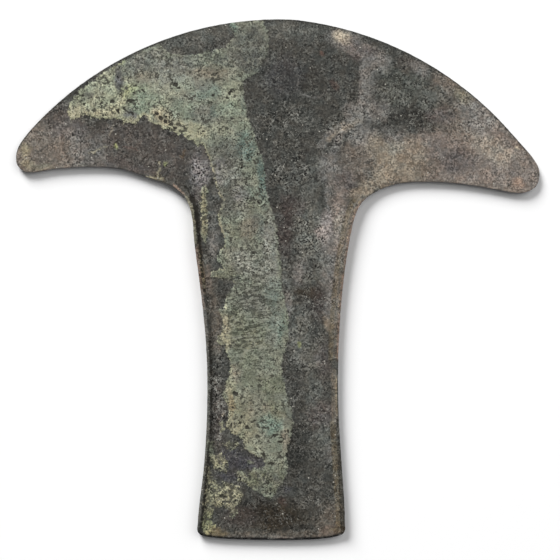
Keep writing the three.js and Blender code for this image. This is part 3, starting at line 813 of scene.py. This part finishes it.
def shade(kind, inputs, **settings):
    """A shader node with its settings, and its inputs set to a value or wired to another's output."""
    node = copper.node_tree.nodes.new("ShaderNode" + kind)
    for name, value in settings.items():
        setattr(node, name, value)
    for name, value in inputs.items():
        if isinstance(value, bpy.types.NodeSocket):
            copper.node_tree.links.new(value, node.inputs[name])
        else:
            node.inputs[name].default_value = value
    return node


def carried(name, output="Fac"):
    """The value or tint that the mesh carries under this name."""
    return shade("Attribute", {}, attribute_name=name).outputs[output]


def sums(operation, first, second, third=0.0):
    """The result of one sum on values or outputs."""
    return shade("Math", {0: first, 1: second, 2: third}, operation=operation).outputs[0]


def eased(value, low, high, to_low=0.0, to_high=1.0):
    """A value brought smoothly from one range to another."""
    inputs = {"Value": value, "From Min": low, "From Max": high, "To Min": to_low, "To Max": to_high}
    return shade("MapRange", inputs, interpolation_type="SMOOTHSTEP").outputs["Result"]


def grain(size, detail=2.0, roughness=0.6, stretch=(1, 1, 1), seed=0.0, waver=0.0):
    """Chance values of 0 to 1 with humps of a size in millimetres."""
    offset = {"Vector": surface_place, "Scale": stretch, "Location": (seed, seed, seed)}
    place = shade("Mapping", offset).outputs["Vector"]
    inputs = {"Vector": place, "Scale": 1 / (size * MM), "Detail": detail, "Roughness": roughness}
    inputs["Distortion"] = waver
    return shade("TexNoise", inputs).outputs["Fac"]


def laid_over(share, under, over, blend="MIX"):
    """One colour laid over another."""
    inputs = {"Factor": share, "A": under, "B": over}
    return shade("Mix", inputs, data_type="RGBA", blend_type=blend).outputs["Result"]


def lightened(colour, amount):
    """A colour times an amount."""
    grey = shade("CombineColor", {"Red": amount, "Green": amount, "Blue": amount}).outputs["Color"]
    return laid_over(1.0, colour, grey, "MULTIPLY")


# The colours of the fine grain, as light
LIME = (0.33, 0.325, 0.29, 1)
LIME_STAR = (0.42, 0.4, 0.35, 1)
CRUST_THREAD = (0.36, 0.36, 0.28, 1)
CRUST_FLECK = (0.04, 0.039, 0.03, 1)
CRUST_PORE = (0.04, 0.038, 0.03, 1)
RIPPLE_CREST = (0.3, 0.31, 0.25, 1)
RIPPLE_HOLLOW = (0.05, 0.054, 0.04, 1)
# Dark dirt, and painted shade, for pits and grooves
DIRT_AND_SHADE = (0.022, 0.02, 0.016, 1)

surface_place = shade("TexCoord", {}).outputs["Object"]
grit = grain(0.46, 0.0)
lumps = grain(1.5, 3.0, 0.8, seed=0.3)
clouds = grain(4.5, 3.0, 0.6, seed=0.7)
worms = sums("ABSOLUTE", sums("SUBTRACT", grain(1.5, 2.0, 0.6, seed=1.9), 0.5), 0.0)
patches = grain(3.0, 4.0, 0.7, seed=2.3)
warmth = eased(grain(4.0, 2.0, 0.5, seed=6.1), 0.4, 0.6)
hues = eased(grain(1.8, 1.0, 0.6, seed=8.3), 0.38, 0.62)
liveliness = eased(patches, 0.35, 0.65, 0.45, 1.35)

# The dark skin: gritty, drifting between warm and cool, with pale specks and threads of lime
grittiness = sums("MULTIPLY", eased(carried("specks"), 0.0, 1.5, 0.62, 1.5), liveliness)
skin_level = sums("ADD", eased(grit, 0.33, 0.75, -0.38, 0.8), eased(lumps, 0.4, 0.75, -0.26, 0.66))
skin_level = sums("MULTIPLY", skin_level, grittiness)
skin = lightened(carried("metal_tint", "Color"), sums("ADD", skin_level, 0.9))
skin = laid_over(1.0, skin, laid_over(warmth, (0.975, 1.0, 1.02, 1), (1.03, 0.99, 0.97, 1)), "MULTIPLY")
skin = laid_over(1.0, skin, laid_over(hues, (0.985, 1.0, 1.02, 1), (1.02, 0.995, 0.98, 1)), "MULTIPLY")
lime_amount = sums("MULTIPLY", carried("specks"), liveliness)
speck_share = sums("MULTIPLY", eased(grain(0.58, 1.0, 0.7, seed=1.1), 0.62, 0.7), lime_amount)
thread_share = sums("MULTIPLY", eased(worms, 0.01, 0.045, 1.0, 0.0), lime_amount)
thread_share = sums("MULTIPLY", thread_share, eased(clouds, 0.46, 0.6))
lime_share = sums("MAXIMUM", sums("MULTIPLY", speck_share, 0.8), sums("MULTIPLY", thread_share, 0.6))
skin = laid_over(lime_share, skin, LIME)
stars = shade("TexVoronoi", {"Vector": surface_place, "Scale": 1 / (2.4 * MM)})
chosen = shade("SeparateColor", {"Color": stars.outputs["Color"]}).outputs["Red"]
star_size = eased(stars.outputs["Distance"], 0.06, 0.11, 0.9, 0.0)
star_share = sums("MULTIPLY", star_size, eased(chosen, 0.5, 0.55))
skin = laid_over(star_share, skin, LIME_STAR)

# The crust: mottled and threaded, with dark flecks, open pores and ripples
crust_level = sums("ADD", eased(grit, 0.28, 0.7, -0.48, 0.4), eased(lumps, 0.33, 0.64, -0.4, 0.3))
crust_level = sums("MULTIPLY", crust_level, sums("MULTIPLY", liveliness, carried("crumbly")))
crust = lightened(carried("crust_tint", "Color"), sums("ADD", crust_level, 1.08))
crust = laid_over(1.0, crust, laid_over(hues, (0.985, 1.0, 1.02, 1), (1.015, 1.0, 0.985, 1)), "MULTIPLY")
crust = laid_over(1.0, crust, laid_over(warmth, (0.98, 1.0, 0.99, 1), (1.03, 0.99, 0.98, 1)), "MULTIPLY")
crust = lightened(crust, eased(patches, 0.35, 0.65, 0.88, 1.12))
thread_share = sums("MULTIPLY", eased(worms, 0.01, 0.05, 1.0, 0.0), eased(clouds, 0.45, 0.6, 0.15, 0.5))
crust = laid_over(thread_share, crust, CRUST_THREAD)
flecks = sums("ADD", grain(1.0, 2.0, 0.7, seed=4.9), eased(clouds, 0.4, 0.62, 0.04, -0.08))
flecks = sums("SUBTRACT", flecks, eased(carried("crumbly"), 1.0, 1.6, 0.0, 0.06))
fleck_share = eased(flecks, 0.34, 0.4, 0.85, 0.0)
crust = laid_over(fleck_share, crust, CRUST_FLECK)
pores = shade("TexVoronoi", {"Vector": surface_place, "Scale": 1 / (1.5 * MM)})
pore_share = sums(
    "MULTIPLY",
    eased(pores.outputs["Distance"], 0.1, 0.2, 1.0, 0.0),
    eased(grain(6.0, 2.0, 0.5, seed=3.1), 0.5, 0.6),
)
crust = laid_over(sums("MULTIPLY", pore_share, 0.8), crust, CRUST_PORE)
ripple_grain = grain(0.78, 1.0, 0.5, stretch=(0.45, 1.0, 1), seed=4.2, waver=0.7)
crest_share = sums("MULTIPLY", eased(ripple_grain, 0.36, 0.46, 1.0, 0.0), carried("ripples"))
crust = laid_over(sums("MULTIPLY", crest_share, 0.5), crust, RIPPLE_CREST)
ripple_share = sums("MULTIPLY", eased(ripple_grain, 0.5, 0.58), carried("ripples"))
crust = laid_over(sums("MULTIPLY", ripple_share, 0.6), crust, RIPPLE_HOLLOW)

# Where the crust is thin or broken, the dark skin shows through it
reach = sums("ADD", carried("crust_reach"), eased(grain(0.9, 4.0, 0.75, seed=5.5), 0.3, 0.7, -0.4, 0.4))
thinness = sums("MULTIPLY", carried("thin"), eased(grain(1.3, 5.0, 0.8, seed=7.3), 0.42, 0.58))
crust_share_here = sums("MULTIPLY", eased(reach, -0.06, 0.06), sums("SUBTRACT", 1.0, thinness))
colour = laid_over(crust_share_here, skin, crust)
# Pits and grooves are darkened with dark dirt and painted shade
dirt_and_shade_here = sums("ADD", carried("hollow_dirt_and_shade"), eased(lumps, 0.35, 0.65, -0.2, 0.2))
colour = laid_over(eased(dirt_and_shade_here, 0.3, 0.7, 0.0, 0.92), colour, DIRT_AND_SHADE)
copper.node_tree.links.new(colour, surface.inputs["Base Color"])
surface.inputs["Roughness"].default_value = 0.85
surface.inputs["Specular IOR Level"].default_value = 0.2

# The finest roughness, too fine for the mesh
GRAIN_HEIGHT = 0.1 * MM
heights = sums("ADD", sums("MULTIPLY", grit, 0.4), sums("MULTIPLY", lumps, 0.8))
heights = sums("ADD", heights, sums("MULTIPLY", fleck_share, -0.5))
heights = sums("ADD", heights, sums("MULTIPLY", ripple_share, -0.7))
bump = shade("Bump", {"Height": heights, "Strength": 0.6, "Distance": GRAIN_HEIGHT})
copper.node_tree.links.new(bump.outputs["Normal"], surface.inputs["Normal"])
mesh.materials.append(copper)

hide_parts("axe_money")
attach(blank, "root")

# The floor and the studio's light
# A pale, plain floor. The main lamp stands low, beyond the left of the cutting edge, and a weaker, higher
# and wider one beyond its right, so the shadow falls below the piece. The pale room fills it in.
FLOOR_HALF = 1.5
FLOOR_GREY = 0.95
ROOM_LEVEL = 0.135
floor_mesh = bpy.data.meshes.new("floor")
floor_mesh.from_pydata(
    [(x * FLOOR_HALF, y * FLOOR_HALF, 0) for x, y in ((-1, -1), (1, -1), (1, 1), (-1, 1))],
    [],
    [(0, 1, 2, 3)],
)
floor = bpy.data.objects.new("floor", floor_mesh)
bpy.context.scene.collection.objects.link(floor)
paper = bpy.data.materials.new("paper")
paper.use_nodes = True
paper_shader = paper.node_tree.nodes["Principled BSDF"]
paper_shader.inputs["Base Color"].default_value = (FLOOR_GREY, FLOOR_GREY, FLOOR_GREY, 1)
paper_shader.inputs["Roughness"].default_value = 1.0
paper_shader.inputs["Specular IOR Level"].default_value = 0.0
floor_mesh.materials.append(paper)

# Each lamp: its turn from +X and its height in degrees, its width in metres and its power in watts
LAMP_DISTANCE = 6.0
LAMPS = [("main_lamp", 117.0, 26.0, 3.2, 592.0), ("second_lamp", 34.0, 42.0, 6.4, 178.0)]
for lamp_name, turn, rise, width, power in LAMPS:
    turn, rise = math.radians(turn), math.radians(rise)
    towards = Vector((math.cos(rise) * math.cos(turn), math.cos(rise) * math.sin(turn), math.sin(rise)))
    lamp_data = bpy.data.lights.new(lamp_name, "AREA")
    lamp_data.shape = "DISK"
    lamp_data.size = width
    lamp_data.energy = power
    lamp = bpy.data.objects.new(lamp_name, lamp_data)
    bpy.context.scene.collection.objects.link(lamp)
    lamp.location = towards * LAMP_DISTANCE
    lamp.rotation_euler = towards.to_track_quat("Z", "Y").to_euler()

room = bpy.data.worlds.new("room")
room.use_nodes = True
room.node_tree.nodes["Background"].inputs["Color"].default_value = (1, 1, 1, 1)
room.node_tree.nodes["Background"].inputs["Strength"].default_value = ROOM_LEVEL
bpy.context.scene.world = room
